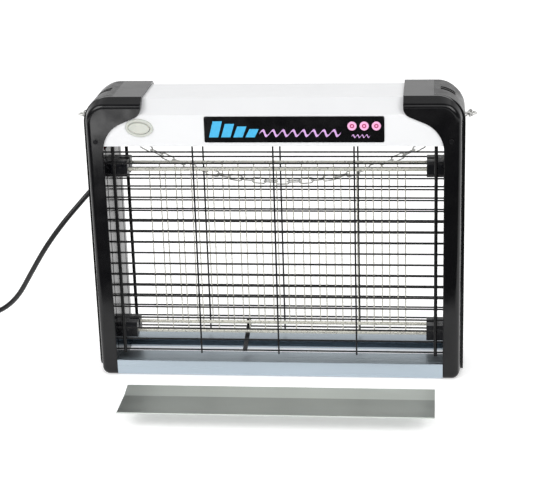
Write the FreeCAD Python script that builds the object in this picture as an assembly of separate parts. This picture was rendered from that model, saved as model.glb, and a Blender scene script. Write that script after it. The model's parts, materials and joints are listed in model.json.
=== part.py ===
"""Electric bug zapper: a framed high-voltage grid between two wire guards.

Millimetres.  +X to the right, +Y to the back, +Z up.  The origin is on the
surface it stands on, midway between the side frames and midway front to back.
"""
import FreeCAD, Part

import math
import os

V = FreeCAD.Vector

# ---------------------------------------------------------------- overall
HALF_DEPTH = 38.0            # side frames, front to back, from the middle
FRAME_INNER = 149.1          # inner faces of the side frames, from the middle
FRAME_WIDTH = 15.9           # side frame, across
FRAME_TOP = 214.3            # seam between side frame and corner cover
HOUSING_HEIGHT = 40.9
HOUSING_LIFT = 4.8           # housing's lower edge above the frame's seam
COVER_RISE = 2.0             # covers stand this far above the housing

FRAME_OUTER = FRAME_INNER + FRAME_WIDTH
FRONT = -HALF_DEPTH
HOUSING_BOTTOM = FRAME_TOP + HOUSING_LIFT
HOUSING_TOP = HOUSING_BOTTOM + HOUSING_HEIGHT
COVER_TOP = HOUSING_TOP + COVER_RISE

# ---------------------------------------------------------------- side frames
FRAME_WALL = 2.5
EDGE_CHAMFER_RUN = 8.6       # chamfer round the front and rear, along Y
EDGE_CHAMFER_TOP = 6.5       # what it drops on top of the covers
EDGE_CHAMFER_SIDE = 2.0      # what it narrows the sides
EDGE_SOFT_R = 5.0            # where the chamfer meets the front and rear faces
FOOT_CORNER_R = 8.0          # outer bottom corner of a side frame
COVER_CORNER_R = 22.0        # outer top corner of a cover
EDGE_ROUND = 0.9
FIT_GAP = 0.1                # between pieces that seat in each other
CUT_OVER = 1.0               # how far a cutting tool runs past a face
SAME_PLACE = 0.01            # places closer than this are one place

# ---------------------------------------------------------------- side bands
BAND_INSET = 12.0            # from the front and rear planes to the band
BAND_PROUD = 2.5             # stands out beyond the frame
BAND_SUNK = 1.6              # lies below the frame's outer surface
BAND_GROOVE = 0.8            # open groove along each edge of the band
BAND_BOTTOM = 3.0
BAND_TOP_START = 9.1         # begins on top this far in from the frame's inner face
BAND_END_R = 9.0
GRIP_WIDTH = 10.0            # ribbed recess on the band's corner, along Y
GRIP_DEPTH = 1.3
GRIP_RIB = 1.6
GRIP_FROM = 7.0              # degrees round the corner from the top
GRIP_TO = 40.0

BAND_HALF = HALF_DEPTH - BAND_INSET
BAND_START = FRAME_INNER - BAND_TOP_START

# ---------------------------------------------------------------- housing
HOUSING_SETBACK = 1.2        # housing's faces behind the covers' faces
HOUSING_CHAMFER_RUN = 11.7
HOUSING_CHAMFER_RISE = 12.6
HOUSING_WALL = 1.2
HOUSING_END = 11.1           # end stretch that is cut down to fit the covers
HOUSING_END_HEIGHT = 18.9
PLATE_THICK = 1.5
COVER_REACH = 35.1           # covers reach this far in from the frame's inner face
COVER_SWEEP_TIP_R = 9.5      # convex round at the cover's lower inner corner
COVER_SWEEP_R = 27.5         # concave round into the side frame
COVER_SWEEP_SLOPE = 23.0     # degrees, of the stretch between the two rounds

HOUSING_HALF = HALF_DEPTH - HOUSING_SETBACK
HOUSING_NOTCH_X = FRAME_INNER - HOUSING_END
HOUSING_NOTCH_Z = HOUSING_BOTTOM + HOUSING_END_HEIGHT
COVER_INNER = FRAME_INNER - COVER_REACH

# ---------------------------------------------------------------- push button
BUTTON_INSET = 2.0           # its middle is this far beyond the cover's inner end
BUTTON_RISE = 16.8           # its middle above the housing's lower edge
BEZEL_LIP = 1.6              # the bezel's flange beyond its barrel
BEZEL_PROUD = 1.3
BARREL_WALL = 1.0
CAP_WIDTH = 19.0
CAP_HEIGHT = 10.2
CAP_PROUD = 3.0
CAP_LENGTH = 7.0
BUTTON_TILT = 5.0            # degrees, seen from the front
BUTTON_TRAVEL = 2.0
BUTTON_GAP = 0.3
SWITCH_SIZE = (18.0, 15.0, 11.0)
SWITCH_TAG = (3.0, 6.0, 0.8)

BARREL_WIDTH = CAP_WIDTH + 2 * (BUTTON_GAP + BARREL_WALL)
BARREL_HEIGHT = CAP_HEIGHT + 2 * (BUTTON_GAP + BARREL_WALL)
BEZEL_WIDTH = BARREL_WIDTH + 2 * BEZEL_LIP
BEZEL_HEIGHT = BARREL_HEIGHT + 2 * BEZEL_LIP
BUTTON_X = -COVER_INNER - BUTTON_INSET
BUTTON_Z = HOUSING_BOTTOM + BUTTON_RISE
BUTTON_STOP_Y = -HOUSING_HALF - CAP_PROUD + CAP_LENGTH + BUTTON_TRAVEL + BUTTON_GAP

# ---------------------------------------------------------------- label
LABEL_FROM_BUTTON = 57.3     # button's middle to the label's left end
LABEL_FROM_COVER = 16.0      # label's right end to the right cover
LABEL_RISE = 3.7             # above the housing's lower edge
LABEL_HEIGHT = 23.2
LABEL_THICK = 0.5
LABEL_CORNER_R = 1.5

# ---------------------------------------------------------------- base rails
RAIL_BOTTOM = 1.5
RAIL_HEIGHT = 13.8
RAIL_THICK = 1.4
RAIL_TOP_FLANGE = 23.0
RAIL_BOTTOM_FLANGE = 11.0
RAIL_LIP = 3.4               # from the rail's face back to a small groove
RAIL_LIP_GROOVE = 0.5

RAIL_TOP = RAIL_BOTTOM + RAIL_HEIGHT

# ---------------------------------------------------------------- tray
TRAY_END_SPACE = 14.1        # at each end, to the side frame
TRAY_FLOOR = 35.0
TRAY_BACK_RUN = 17.0
TRAY_BACK_RISE = 2.4
TRAY_LIP_RUN = 2.4
TRAY_LIP_RISE = 1.6
TRAY_THICK = 0.8
TRAY_CLEARANCE = 0.3         # above the rails, and below the guards
TRAY_TRAVEL = 127.0          # from home to right out in front
TRAY_SIDE_OFFSET = 7.5       # the loose tray sits a little to the right

TRAY_TOP = RAIL_TOP + TRAY_CLEARANCE + TRAY_BACK_RISE + TRAY_THICK

# ---------------------------------------------------------------- guards
GUARD_INSET = 8.0            # from the frame's face to the upright guard rods
GUARD_ABOVE_TRAY = 1.2       # the rods' lower ends above the tray
GUARD_ROD_R = 0.75
GUARD_END_ROD_R = 1.5
GUARD_WIRE_R = 0.75
GUARD_FIRST = 2.7            # lowest wire above the rods' lower ends
GUARD_PITCH = 10.5
GUARD_TOP_SPACE = 2.0        # least space from the top wire to the frame's seam
GUARD_RODS = 5
GUARD_END_INSET = 6.7        # end rods from the side frames
GUARD_ROD_GRIP = 1.0         # rods run this far through the bottom plate
GUARD_WELD = 0.25            # how deep a wire sits in a rod
GROOVE_WIDTH = 2.6
GROOVE_DEPTH = 1.7

GUARD_Y = HALF_DEPTH - GUARD_INSET
GUARD_WIRE_Y = GUARD_Y - (GUARD_ROD_R + GUARD_WIRE_R - GUARD_WELD)
GUARD_WIRE_HALF = FRAME_INNER + GROOVE_DEPTH - 4 * FIT_GAP
GUARD_ROD_BOTTOM = TRAY_TOP + GUARD_ABOVE_TRAY
GUARD_LOWEST = GUARD_ROD_BOTTOM + GUARD_FIRST
GUARD_WIRES = 1 + int((FRAME_TOP - GUARD_TOP_SPACE - GUARD_LOWEST) / GUARD_PITCH)

# ---------------------------------------------------------------- killing grid
COMB_Y = 6.0
ROD_R = 1.6
ROD_END_GAP = 2.1            # rods' ends from the side frames
COMB_WIRE_R = 0.5
COMB_PITCH = 14.4
COMB_END_SPACE = 17.0        # least space from an insulator to the first wire
FRONT_COMB_LOW = 9.4         # lower rods above the guards' lowest wire
REAR_COMB_LOW = 13.5
FRONT_COMB_DROP = 25.3       # upper rods below the frame's seam
REAR_COMB_DROP = 22.3

INSULATOR_LENGTH = 15.0      # from the side frame inwards
INSULATOR_HEIGHT = 14.5
INSULATOR_DEPTH = 24.0
INSULATOR_NOTCH = (4.4, 9.0)   # width along Y and length along X
INSULATOR_CORNER_R = 1.5
INSULATOR_BORE_GAP = 0.15
INSULATOR_SCREW_R = 1.3
INSULATOR_SCREW_BITE = 0.2   # the screw cuts this far into the plastic

ROD_HALF = FRAME_INNER - ROD_END_GAP
FRONT_COMB_Z = (GUARD_LOWEST + FRONT_COMB_LOW, FRAME_TOP - FRONT_COMB_DROP)
REAR_COMB_Z = (GUARD_LOWEST + REAR_COMB_LOW, FRAME_TOP - REAR_COMB_DROP)
COMB_ROOM = 2 * (FRAME_INNER - INSULATOR_LENGTH - COMB_END_SPACE)
FRONT_COMB_WIRES = 1 + int(COMB_ROOM / COMB_PITCH)
REAR_COMB_WIRES = FRONT_COMB_WIRES - 1

STAY_X = -31.5
STAY_WIDTH = 4.0
STAY_THICK = 1.4

# ---------------------------------------------------------------- light
LED_END_SPACE = 34.1         # from the side frames to the boards' ends
LED_BOARD_WIDTH = 8.0
LED_BOARD_THICK = 1.2
LED_PITCH = 19.0
LED_SIZE = (3.5, 2.8, 0.8)
DIFFUSER_OVERLAP = 3.0       # beyond the board at each end
DIFFUSER_WIDTH = 11.0
DIFFUSER_THICK = 2.0
DIFFUSER_CORNER_R = 0.8

LED_Y = (GUARD_Y + COMB_Y) / 2
LED_BOARD_HALF = FRAME_INNER - LED_END_SPACE

# ---------------------------------------------------------------- electronics
BOARD_SIZE = (96.0, 44.0, 1.6)
BOARD_X = 40.0
BOARD_LIFT = 5.0
POST_R = 3.0
TRANSFORMER_SIZE = (18.0, 15.0, 15.0)
TRANSFORMER_INSET = 12.0     # from the board's left edge
BOBBIN_INSET = 4.0
BOBBIN_PROUD = 2.0
CAPACITOR_SIZE = (13.0, 6.0, 11.0)
CAPACITOR_COUNT = 4
CAPACITOR_PITCH = 16.0
CAPACITOR_GAP = 4.0          # to the transformer and to the board's middle line
CAPACITOR_CORNER_R = 1.2
LEAD_R = 0.9
LEAD_LIFT = 12.0             # the leads' run above the board
LEAD_LANE = 2.5              # where each lead leaves the board, from the middle
LEAD_INSET = 3.0
LEAD_WELL = 4.0              # inside the left frame, from its inner wall
LEAD_BEND_R = 3.0

# ---------------------------------------------------------------- screws
SCREW_HEAD_R = 2.1
SCREW_HEAD = 0.9
SCREW_SHANK_R = 1.2
SCREW_SHANK = 5.0
COVER_SCREW_INSET = 6.4      # from the frame's inner face
COVER_SCREW_RISE = 9.2       # above the frame's seam
PLATE_SCREW_INSET = 21.1
PLATE_SCREW_EDGE = 9.8       # from the housing's face

COVER_SCREW_X = FRAME_INNER + COVER_SCREW_INSET
COVER_SCREW_Z = FRAME_TOP + COVER_SCREW_RISE
PLATE_SCREW_X = FRAME_INNER - PLATE_SCREW_INSET
PLATE_SCREW_Y = HOUSING_HALF - PLATE_SCREW_EDGE

# ---------------------------------------------------------------- hanging chain
EYE_DROP = 23.0              # below the covers' top
EYE_WIRE_R = 0.9
EYE_R = 3.6
EYE_STEM_LENGTH = 2.4
EYE_STEM_R = 1.2
EYE_STAND_OFF = 1.6          # ring's outer edge from the band
LINK_WIRE_R = 0.65
LINK_WIDTH = 5.2             # between the wire's centre lines
LINK_PITCH = 11.6
CHAIN_BEHIND = 8.0           # behind the frames' rear faces
CHAIN_LOW_Z = 161.5
CHAIN_CORNER_OUT = 6.0       # where it turns the rear corner, beyond the frame
CHAIN_CORNER_DROP = 13.0     # below the eyes
CHAIN_CORNER_CUT = 18.0      # how far before the corner the turn begins
CHAIN_STEEPNESS = 1.35       # of the hanging curve

EYE_X = FRAME_OUTER + BAND_PROUD + EYE_R + EYE_WIRE_R + EYE_STAND_OFF
EYE_Z = COVER_TOP - EYE_DROP
CHAIN_Y = HALF_DEPTH + CHAIN_BEHIND

# ---------------------------------------------------------------- power cord
CORD_D = 5.0
CORD_EXIT_OUT = 9.9          # where it leaves, beyond the side frame's inner face
CORD_EXIT_Z = 176.0
RELIEF_LENGTH = 22.0
RELIEF_ROOT_R = 5.0
RELIEF_WALL = 1.0            # at its thin end
RELIEF_GROOVES = 5
RELIEF_GROOVE = 1.2
CORD_RUN = [                 # how far along -X from where it leaves, then Y and Z
    (0.0, 68.5, 176.0),
    (4.5, 84.0, 170.0),
    (14.5, 94.0, 158.5),
    (28.0, 96.5, 144.0),
    (44.0, 90.0, 127.0),
    (61.0, 82.0, 108.5),
    (80.0, 78.0, 84.0),
    (98.0, 80.0, 55.0),
    (115.0, 86.0, 27.0),
    (137.0, 92.0, 8.5),
    (163.0, 97.0, 2.6),
    (189.0, 98.0, 2.6),
]
FLOOR_GAP = 0.1              # loose pieces above the surface
COIL_TURN_D = 54.0           # through the middle of the turns
COIL_TURNS_WIDE = 2
COIL_LAYERS = 3
COIL_PITCH = 5.2             # from one turn's middle to the next
PLUG_LENGTH = 34.0
PLUG_WIDTH = 26.0
PLUG_HEIGHT = 15.0
PLUG_CORNER_R = 4.0
PIN_LENGTH = 18.0
PIN_R = 2.0
PIN_SPACING = 19.0

CORD_EXIT = (-FRAME_INNER - CORD_EXIT_OUT, HALF_DEPTH, CORD_EXIT_Z)
CORD_POINTS = [(CORD_EXIT[0] - away, y, z) for away, y, z in CORD_RUN]
COIL_LAST_TURN_R = COIL_TURN_D / 2 + COIL_PITCH * (COIL_TURNS_WIDE - 1) / 2
COIL_OUTER_R = COIL_LAST_TURN_R + CORD_D / 2
COIL_INNER_R = COIL_OUTER_R - CORD_D - COIL_PITCH * (COIL_TURNS_WIDE - 1)


# ================================================================ helpers
def box(x0, x1, y0, y1, z0, z1):
    return Part.makeBox(x1 - x0, y1 - y0, z1 - z0, V(x0, y0, z0))


def rod(start, end, radius):
    a = V(*start)
    b = V(*end)
    return Part.makeCylinder(radius, (b - a).Length, a, b - a)


def polygon(points):
    vectors = [V(*p) for p in points]
    return Part.makePolygon(vectors + vectors[:1])


def prism(points, direction):
    return Part.Face(polygon(points)).extrude(V(*direction))


def mirrored(shape):
    return shape.mirror(V(0, 0, 0), V(1, 0, 0))


def sided(shape, side):
    """A shape made for the right-hand side, or its mirror image for the left."""
    return shape if side > 0 else mirrored(shape)


def arc_edge(centre_x, centre_z, radius, start_deg, end_deg, y):
    """An arc in the plane of a given Y, through three points."""
    points = []
    for share in (0.0, 0.5, 1.0):
        angle = math.radians(start_deg + (end_deg - start_deg) * share)
        points.append(V(centre_x + radius * math.cos(angle), y, centre_z + radius * math.sin(angle)))
    return Part.Arc(*points).toShape()


def line_edge(x0, z0, x1, z1, y):
    return Part.LineSegment(V(x0, y, z0), V(x1, y, z1)).toShape()


def loft(wires):
    return Part.makeLoft(wires, True, True)


def fused(shapes):
    return shapes[0].fuse(shapes[1:]).removeSplitter()


def rounded_box(x0, x1, y0, y1, z0, z1, radius, axis):
    """A box with the four edges along one axis rounded."""
    body = box(x0, x1, y0, y1, z0, z1)
    edges = []
    for edge in body.Edges:
        tangent = edge.tangentAt(edge.FirstParameter)
        if abs(tangent.dot(V(*axis))) > 0.99:
            edges.append(edge)
    return body.makeFillet(radius, edges)


def ellipse_prism(centre, width, height, y0, y1, tilt):
    """An upright oval extruded from y0 to y1, tilted about Y."""
    curve = Part.Ellipse(V(0, 0, 0), width / 2, height / 2).toShape()
    face = Part.Face(Part.Wire(curve))
    face.rotate(V(0, 0, 0), V(1, 0, 0), 90)
    face.rotate(V(0, 0, 0), V(0, 1, 0), tilt)
    face.translate(V(centre[0], y0, centre[1]))
    return face.extrude(V(0, y1 - y0, 0))


def save(name, shape):
    shape.exportStep("parts/" + name + ".step")
    solids = shape.Solids
    print(name, "solids", len(solids), "volume", round(shape.Volume, 1), "valid", shape.isValid())


# ================================================================ outlines
def cover_wire(y, outer_x, top_z, corner_r):
    """Outline of a right-hand corner cover at one depth, with its swept lower edge."""
    slope = math.radians(COVER_SWEEP_SLOPE)
    sweep_x = FRAME_INNER - COVER_SWEEP_R
    sweep_end = (
        sweep_x + COVER_SWEEP_R * math.sin(slope),
        FRAME_TOP + COVER_SWEEP_R * math.cos(slope),
    )
    tip_end_x = COVER_INNER + COVER_SWEEP_TIP_R * (1 - math.sin(slope))
    tip_end_z = sweep_end[1] + (sweep_end[0] - tip_end_x) * math.tan(slope)
    tip_z = tip_end_z + COVER_SWEEP_TIP_R * math.cos(slope)
    tip_x = COVER_INNER + COVER_SWEEP_TIP_R
    edges = [
        line_edge(COVER_INNER, tip_z, COVER_INNER, top_z, y),
        line_edge(COVER_INNER, top_z, outer_x - corner_r, top_z, y),
        arc_edge(outer_x - corner_r, top_z - corner_r, corner_r, 90, 0, y),
        line_edge(outer_x, top_z - corner_r, outer_x, FRAME_TOP, y),
        line_edge(outer_x, FRAME_TOP, FRAME_INNER, FRAME_TOP, y),
        arc_edge(sweep_x, FRAME_TOP, COVER_SWEEP_R, 0, 90 - COVER_SWEEP_SLOPE, y),
        line_edge(sweep_end[0], sweep_end[1], tip_end_x, tip_end_z, y),
        arc_edge(tip_x, tip_z, COVER_SWEEP_TIP_R, 270 - COVER_SWEEP_SLOPE, 180, y),
    ]
    return Part.Wire(edges)


def frame_wire(y, outer_x, corner_r):
    """Outline of a right-hand side frame at one depth."""
    edges = [
        line_edge(FRAME_INNER, 0, FRAME_INNER, FRAME_TOP, y),
        line_edge(FRAME_INNER, FRAME_TOP, outer_x, FRAME_TOP, y),
        line_edge(outer_x, FRAME_TOP, outer_x, corner_r, y),
        arc_edge(outer_x - corner_r, corner_r, corner_r, 0, -90, y),
        line_edge(outer_x - corner_r, 0, FRAME_INNER, 0, y),
    ]
    return Part.Wire(edges)


def chamfered_block(make_wire, full, narrow):
    """An outline carried from front to back, chamfered and softly rounded at both ends."""
    inner_y = HALF_DEPTH - EDGE_CHAMFER_RUN
    front = loft([make_wire(-HALF_DEPTH, *narrow), make_wire(-inner_y, *full)])
    middle = Part.Face(make_wire(-inner_y, *full)).extrude(V(0, 2 * inner_y, 0))
    back = loft([make_wire(inner_y, *full), make_wire(HALF_DEPTH, *narrow)])
    body = fused([front, middle, back])
    outer_edges = []
    for edge in body.Edges:
        centre = edge.CenterOfMass
        on_face = abs(abs(centre.y) - HALF_DEPTH) < SAME_PLACE
        outermost = abs(centre.x - FRAME_OUTER + EDGE_CHAMFER_SIDE) < SAME_PLACE
        if on_face and outermost:
            outer_edges.append(edge)
    return body.makeFillet(EDGE_SOFT_R, outer_edges)


def band_solid(half_depth, outer, inner, bottom):
    """The strip that wraps the outer corner, between an outer and an inner offset."""
    outer_x = FRAME_OUTER + outer
    inner_x = FRAME_OUTER - inner
    outer_r = COVER_CORNER_R + outer
    inner_r = COVER_CORNER_R - inner
    corner_x = FRAME_OUTER - COVER_CORNER_R
    corner_z = COVER_TOP - COVER_CORNER_R
    outer_z = COVER_TOP - outer_r
    edges = [
        line_edge(BAND_START, COVER_TOP, corner_x, COVER_TOP, 0),
        arc_edge(outer_x - outer_r, outer_z, outer_r, 90, 0, 0),
        line_edge(outer_x, outer_z, outer_x, bottom, 0),
        line_edge(outer_x, bottom, inner_x, bottom, 0),
        line_edge(inner_x, bottom, inner_x, corner_z, 0),
        arc_edge(corner_x, corner_z, inner_r, 0, 90, 0),
        line_edge(corner_x, COVER_TOP - inner, BAND_START, COVER_TOP - inner, 0),
        line_edge(BAND_START, COVER_TOP - inner, BAND_START, COVER_TOP, 0),
    ]
    face = Part.Face(Part.Wire(edges))
    face.translate(V(0, -half_depth, 0))
    return face.extrude(V(0, 2 * half_depth, 0))


def housing_profile(inset):
    """Section of the top housing, moved inwards all round by inset."""
    slant = math.hypot(HOUSING_CHAMFER_RUN, HOUSING_CHAMFER_RISE)
    side = HOUSING_HALF - inset
    top = HOUSING_TOP - inset
    knee_z = HOUSING_TOP - HOUSING_CHAMFER_RISE
    knee_y = HOUSING_HALF - HOUSING_CHAMFER_RUN
    lower = knee_z - inset * (slant - HOUSING_CHAMFER_RISE) / HOUSING_CHAMFER_RUN
    upper = knee_y - inset * (slant - HOUSING_CHAMFER_RUN) / HOUSING_CHAMFER_RISE
    return side, lower, upper, top


def housing_prism(half_length, inset, bottom):
    side, lower, upper, top = housing_profile(inset)
    points = [
        (-half_length, -side, bottom),
        (-half_length, -side, lower),
        (-half_length, -upper, top),
        (-half_length, upper, top),
        (-half_length, side, lower),
        (-half_length, side, bottom),
    ]
    return prism(points, (2 * half_length, 0, 0))


# ================================================================ frame pieces
def rod_pair(upper):
    """Heights of the front and rear rods at the grid's top or bottom."""
    index = 1 if upper else 0
    return (FRONT_COMB_Z[index], REAR_COMB_Z[index])


def insulator_z(upper):
    return sum(rod_pair(upper)) / 2


def band_pocket(bottom):
    """Cutting tool for the band's recess and the open grooves beside it."""
    return band_solid(BAND_HALF + BAND_GROOVE, COVER_CORNER_R, BAND_SUNK, bottom)


def side_frame():
    full = (FRAME_OUTER, FOOT_CORNER_R)
    narrow = (FRAME_OUTER - EDGE_CHAMFER_SIDE, FOOT_CORNER_R - EDGE_CHAMFER_SIDE)
    body = chamfered_block(frame_wire, full, narrow)
    inner_edges = []
    for edge in body.Edges:
        middle = edge.CenterOfMass
        on_face = abs(abs(middle.y) - HALF_DEPTH) < SAME_PLACE
        on_inner_side = abs(middle.x - FRAME_INNER) < SAME_PLACE
        if on_face and on_inner_side:
            inner_edges.append(edge)
    body = body.makeFillet(EDGE_ROUND, inner_edges)
    pocket = band_pocket(BAND_BOTTOM - BAND_GROOVE)
    hollow = box(
        FRAME_INNER + FRAME_WALL,
        FRAME_OUTER - BAND_SUNK - FRAME_WALL,
        FRONT + FRAME_WALL,
        HALF_DEPTH - FRAME_WALL,
        FRAME_WALL,
        FRAME_TOP + CUT_OVER,
    )
    body = body.cut([pocket, hollow])
    grooves = []
    for y in (-GUARD_WIRE_Y, GUARD_WIRE_Y):
        grooves.append(box(
            FRAME_INNER - CUT_OVER, FRAME_INNER + GROOVE_DEPTH,
            y - GROOVE_WIDTH / 2, y + GROOVE_WIDTH / 2,
            GUARD_ROD_BOTTOM, FRAME_TOP + CUT_OVER,
        ))
    body = body.cut(grooves)
    holes = []
    for upper in (False, True):
        z = insulator_z(upper)
        start = (FRAME_INNER - CUT_OVER, 0, z)
        end = (FRAME_INNER + FRAME_WALL + CUT_OVER, 0, z)
        holes.append(rod(start, end, INSULATOR_SCREW_R))
    return body.cut(holes)


def lead_holes():
    """Holes in the left frame where the upper rods' leads pass."""
    holes = []
    for y, z in zip((-COMB_Y, COMB_Y), rod_pair(True)):
        start = (-FRAME_INNER + CUT_OVER, y, z)
        end = (-FRAME_INNER - FRAME_WALL - CUT_OVER, y, z)
        holes.append(rod(start, end, LEAD_R + FIT_GAP))
    return holes


def relief_hole():
    x, y, z = CORD_EXIT
    return rod((x, y - 2 * FRAME_WALL, z), (x, y + CUT_OVER, z), CORD_D / 2 + FIT_GAP)


def corner_cover():
    full = (FRAME_OUTER, COVER_TOP, COVER_CORNER_R)
    narrow = (
        FRAME_OUTER - EDGE_CHAMFER_SIDE,
        COVER_TOP - EDGE_CHAMFER_TOP,
        COVER_CORNER_R - EDGE_CHAMFER_TOP,
    )
    body = chamfered_block(cover_wire, full, narrow)
    pocket = band_pocket(BAND_BOTTOM)
    seat = housing_prism(HOUSING_NOTCH_X + FIT_GAP, -FIT_GAP, FRAME_TOP - CUT_OVER)
    end_seat = box(
        HOUSING_NOTCH_X, FRAME_INNER + FIT_GAP,
        -HOUSING_HALF - FIT_GAP, HOUSING_HALF + FIT_GAP,
        FRAME_TOP - CUT_OVER, HOUSING_NOTCH_Z + FIT_GAP,
    )
    hollow = box(
        HOUSING_NOTCH_X, FRAME_OUTER - BAND_SUNK - FRAME_WALL,
        FRONT + FRAME_WALL, HALF_DEPTH - FRAME_WALL,
        FRAME_TOP - CUT_OVER, COVER_TOP - COVER_CORNER_R / 2 - FRAME_WALL,
    )
    body = body.cut([pocket, seat, end_seat, hollow])
    screws = []
    for y in (FRONT, HALF_DEPTH):
        inwards = 1 if y < 0 else -1
        screws.append(rod(
            (COVER_SCREW_X, y - inwards * CUT_OVER, COVER_SCREW_Z),
            (COVER_SCREW_X, y + inwards * (FRAME_WALL + CUT_OVER), COVER_SCREW_Z),
            SCREW_SHANK_R,
        ))
    return body.cut(screws)


def bezel_relief():
    """Room for the button's bezel at the left cover's swept edge."""
    return ellipse_prism(
        (BUTTON_X, BUTTON_Z), BEZEL_WIDTH + 2 * BUTTON_GAP, BEZEL_HEIGHT + 2 * BUTTON_GAP,
        FRONT - CUT_OVER, -HOUSING_HALF, BUTTON_TILT,
    )


def side_band():
    band = band_solid(BAND_HALF, BAND_PROUD, BAND_SUNK - FIT_GAP, BAND_BOTTOM)
    ends = []
    for edge in band.Edges:
        at_bottom = abs(edge.CenterOfMass.z - BAND_BOTTOM) < SAME_PLACE
        if at_bottom and edge.BoundBox.XLength > BAND_PROUD / 2:
            ends.append(edge)
    band = band.makeFillet(BAND_END_R, ends)
    outer_r = COVER_CORNER_R + BAND_PROUD
    centre_x = FRAME_OUTER + BAND_PROUD - outer_r
    centre_z = COVER_TOP - outer_r
    cuts = []
    slot = (GRIP_WIDTH - GRIP_RIB) / 2
    reach = 2 * outer_r
    along_y = V(0, 1, 0)
    for side in (-1, 1):
        y0 = side * (GRIP_WIDTH + GRIP_RIB) / 4 - slot / 2
        centre = V(centre_x, y0, centre_z)
        ring = Part.makeCylinder(outer_r + CUT_OVER, slot, centre, along_y)
        core = Part.makeCylinder(outer_r - GRIP_DEPTH, slot, centre, along_y)
        wedge_points = [(centre_x, y0, centre_z)]
        for angle in (GRIP_FROM, GRIP_TO):
            turn = math.radians(90 - angle)
            wedge_points.append((centre_x + reach * math.cos(turn), y0, centre_z + reach * math.sin(turn)))
        wedge = prism(wedge_points, (0, slot, 0))
        cuts.append(ring.cut(core).common(wedge))
    return band.cut(cuts)


def top_housing():
    outer = housing_prism(FRAME_INNER, 0, HOUSING_BOTTOM)
    inner = housing_prism(FRAME_INNER + CUT_OVER, HOUSING_WALL, HOUSING_BOTTOM - CUT_OVER)
    cuts = [inner]
    for side in (-1, 1):
        notch = box(
            HOUSING_NOTCH_X, FRAME_INNER + CUT_OVER, -HALF_DEPTH, HALF_DEPTH,
            HOUSING_NOTCH_Z, HOUSING_TOP + CUT_OVER,
        )
        cuts.append(sided(notch, side))
    cuts.append(ellipse_prism(
        (BUTTON_X, BUTTON_Z), BARREL_WIDTH + 2 * FIT_GAP, BARREL_HEIGHT + 2 * FIT_GAP,
        -HOUSING_HALF - CUT_OVER, -HOUSING_HALF + HOUSING_WALL + CUT_OVER, BUTTON_TILT,
    ))
    return outer.cut(cuts)


def housing_bottom_plate():
    side = HOUSING_HALF - HOUSING_WALL - FIT_GAP
    plate = box(-FRAME_INNER, FRAME_INNER, -side, side, HOUSING_BOTTOM, HOUSING_BOTTOM + PLATE_THICK)
    below = HOUSING_BOTTOM - CUT_OVER
    above = HOUSING_BOTTOM + PLATE_THICK + CUT_OVER
    cuts = []
    for y in (-GUARD_Y, GUARD_Y):
        for x, radius in guard_rods():
            cuts.append(rod((x, y, below), (x, y, above), radius + FIT_GAP))
    half_length = LED_BOARD_HALF + FIT_GAP
    half_width = LED_BOARD_WIDTH / 2 + FIT_GAP
    for y in (-LED_Y, LED_Y):
        cuts.append(box(-half_length, half_length, y - half_width, y + half_width, below, above))
    for x in (-PLATE_SCREW_X, PLATE_SCREW_X):
        for y in (-PLATE_SCREW_Y, PLATE_SCREW_Y):
            cuts.append(rod((x, y, below), (x, y, above), SCREW_SHANK_R + FIT_GAP))
    return plate.cut(cuts)


def label_plate():
    return rounded_box(
        BUTTON_X + LABEL_FROM_BUTTON, COVER_INNER - LABEL_FROM_COVER,
        -HOUSING_HALF - LABEL_THICK, -HOUSING_HALF,
        HOUSING_BOTTOM + LABEL_RISE, HOUSING_BOTTOM + LABEL_RISE + LABEL_HEIGHT,
        LABEL_CORNER_R, (0, 1, 0),
    )


# ================================================================ push button
def switch_bezel():
    centre = (BUTTON_X, BUTTON_Z)
    face_y = -HOUSING_HALF
    flange = ellipse_prism(centre, BEZEL_WIDTH, BEZEL_HEIGHT, face_y - BEZEL_PROUD, face_y, BUTTON_TILT)
    rims = []
    for edge in flange.Edges:
        if abs(edge.CenterOfMass.y - (face_y - BEZEL_PROUD)) < SAME_PLACE:
            rims.append(edge)
    flange = flange.makeFillet(BEZEL_PROUD * 0.6, rims)
    barrel = ellipse_prism(
        centre, BARREL_WIDTH, BARREL_HEIGHT, face_y, BUTTON_STOP_Y, BUTTON_TILT,
    )
    bore = ellipse_prism(
        centre, CAP_WIDTH + 2 * BUTTON_GAP, CAP_HEIGHT + 2 * BUTTON_GAP,
        face_y - BEZEL_PROUD - CUT_OVER, BUTTON_STOP_Y + CUT_OVER, BUTTON_TILT,
    )
    return flange.fuse(barrel).cut(bore)


def switch_cap():
    centre = (BUTTON_X, BUTTON_Z)
    front_y = -HOUSING_HALF - CAP_PROUD
    cap = ellipse_prism(centre, CAP_WIDTH, CAP_HEIGHT, front_y, front_y + CAP_LENGTH, BUTTON_TILT)
    rims = []
    for edge in cap.Edges:
        if abs(edge.CenterOfMass.y - front_y) < SAME_PLACE:
            rims.append(edge)
    return cap.makeFillet(CAP_PROUD * 0.5, rims)


def switch_body():
    width, depth, height = SWITCH_SIZE
    tag_width, tag_length, tag_thick = SWITCH_TAG
    back_y = BUTTON_STOP_Y + depth
    body = box(
        BUTTON_X - width / 2, BUTTON_X + width / 2, BUTTON_STOP_Y, back_y,
        BUTTON_Z - height / 2, BUTTON_Z + height / 2,
    )
    tags = []
    for x in (BUTTON_X - width / 4, BUTTON_X + width / 4):
        tags.append(box(
            x - tag_width / 2, x + tag_width / 2, back_y, back_y + tag_length,
            BUTTON_Z - tag_thick / 2, BUTTON_Z + tag_thick / 2,
        ))
    return fused([body] + tags)


# ================================================================ guards
def guard_rods():
    """X and radius of each upright rod; the two end rods are thicker."""
    rods = []
    half = (GUARD_RODS - 1) // 2
    pitch = (FRAME_INNER - GUARD_END_INSET) / half
    for index in range(-half, half + 1):
        radius = GUARD_END_ROD_R if abs(index) == half else GUARD_ROD_R
        rods.append((index * pitch, radius))
    return rods


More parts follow.
